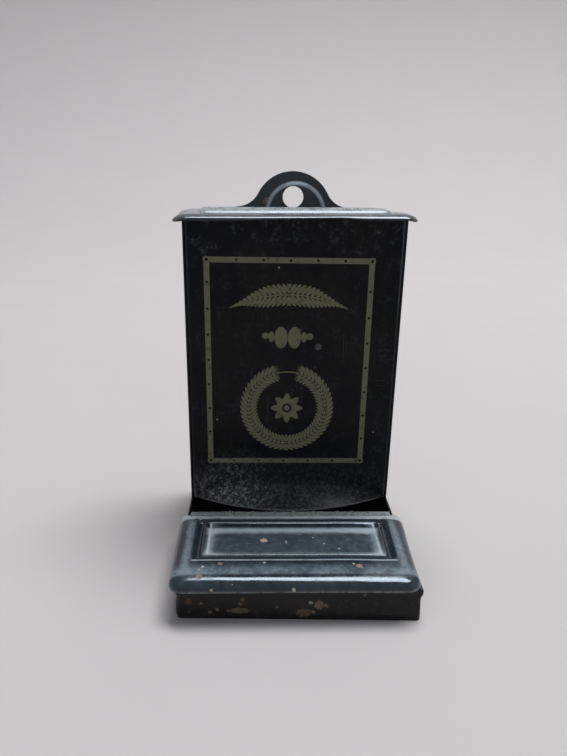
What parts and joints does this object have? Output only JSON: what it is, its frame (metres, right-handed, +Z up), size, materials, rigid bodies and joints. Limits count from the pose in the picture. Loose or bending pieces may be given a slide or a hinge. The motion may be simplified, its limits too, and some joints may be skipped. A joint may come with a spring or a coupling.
{
  "type": "match holder",
  "caption": "Wall-hung japanned tinplate match holder: a tall lidded magazine that feeds matches down into a shallow tray with its own hinged lid, with a nail hole in the back tab.",
  "frame": {"origin": "centre of the outline seen from above, on the plane the holder stands on", "axes": "+Z up to the hanging tab, -Y to the front with the tray, +X to the right as seen from the front"},
  "size_m": [0.076, 0.0746, 0.1209],
  "materials": {
    "body_japan": "black japan, worn gloss, with rubbed edges and small rust chips",
    "front_japan": "black japan, worn gloss, with a faded olive-gilt printed border and ornament",
    "back_japan": "black japan, worn gloss, with dust in the raised arch",
    "lid_japan": "blue-black japan, glossy, with chips, dust and a thin bright wear line on the ridges",
    "inner_tin": "dull dark japan over tinplate, dusty",
    "hinge_wire": "dull iron wire with rust"
  },
  "bodies": {
    "holder": {"side_wrap": "body_japan", "back_plate": "back_japan", "front_plate": "front_japan", "floor_pan": "inner_tin", "chute_plate": "inner_tin", "top_hinge_wire": "hinge_wire", "lower_hinge_wire": "hinge_wire"},
    "top_lid": {"top_lid": "lid_japan"},
    "lower_lid": {"lower_lid": "lid_japan"}
  },
  "joints": [
    {"name": "top_lid_hinge", "type": "hinge", "parent": "holder", "child": "top_lid", "pos_m": [0, 0.03235, 0.1065], "axis": [-1, 0, 0], "range_deg": [0, 90]},
    {"name": "lower_lid_hinge", "type": "hinge", "parent": "holder", "child": "lower_lid", "pos_m": [0, 0.00305, 0.0088], "axis": [-1, 0, 0], "range_deg": [0, 98]}
  ]
}
